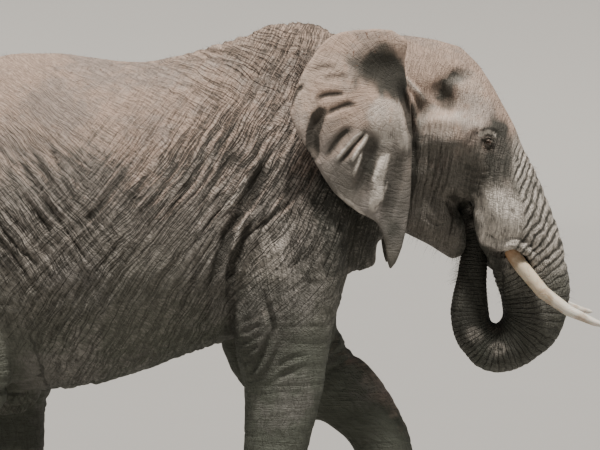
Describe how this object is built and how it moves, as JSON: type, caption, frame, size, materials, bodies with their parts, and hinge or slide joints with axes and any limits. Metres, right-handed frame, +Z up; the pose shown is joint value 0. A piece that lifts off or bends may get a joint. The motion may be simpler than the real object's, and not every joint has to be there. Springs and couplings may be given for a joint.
{
  "type": "elephant",
  "caption": "Life-size young bull African bush elephant, walking with head low and trunk curled up into its mouth, ears back, slender tusks.",
  "frame": {"origin": "middle of the box, on the floor", "axes": "+X the way it faces, +Y to its left, +Z up"},
  "size_m": [4.1564, 1.3208, 2.9979],
  "materials": {
    "skin": "matte, dusty, wrinkled grey-brown hide",
    "trunk_skin": "matte, dark grey hide with rings",
    "leg_skin": "matte, dark grey cracked hide",
    "ear_skin": "matte, thin pinkish brown hide",
    "ivory": "satin cream ivory, stained at the root",
    "eye": "wet, very dark brown",
    "hair": "coarse black hair"
  },
  "bodies": {
    "root": {"torso": "skin", "neck": "skin", "head": "skin", "lower_jaw": "skin", "trunk_upper": "trunk_skin", "trunk_bend_front": "trunk_skin", "trunk_bend_rear": "trunk_skin", "trunk_rise": "trunk_skin", "trunk_tip": "trunk_skin", "left_foreleg": "leg_skin", "left_forefoot": "leg_skin", "right_foreleg": "leg_skin", "right_forefoot": "leg_skin", "left_hindleg": "leg_skin", "left_hindfoot": "leg_skin", "right_hindleg": "leg_skin", "right_hindfoot": "leg_skin", "sheath": "skin", "left_ear": "ear_skin", "right_ear": "ear_skin", "left_tusk": "ivory", "right_tusk": "ivory", "left_eye": "eye", "right_eye": "eye", "tail": "skin", "tail_brush": "hair"}
  },
  "joints": []
}
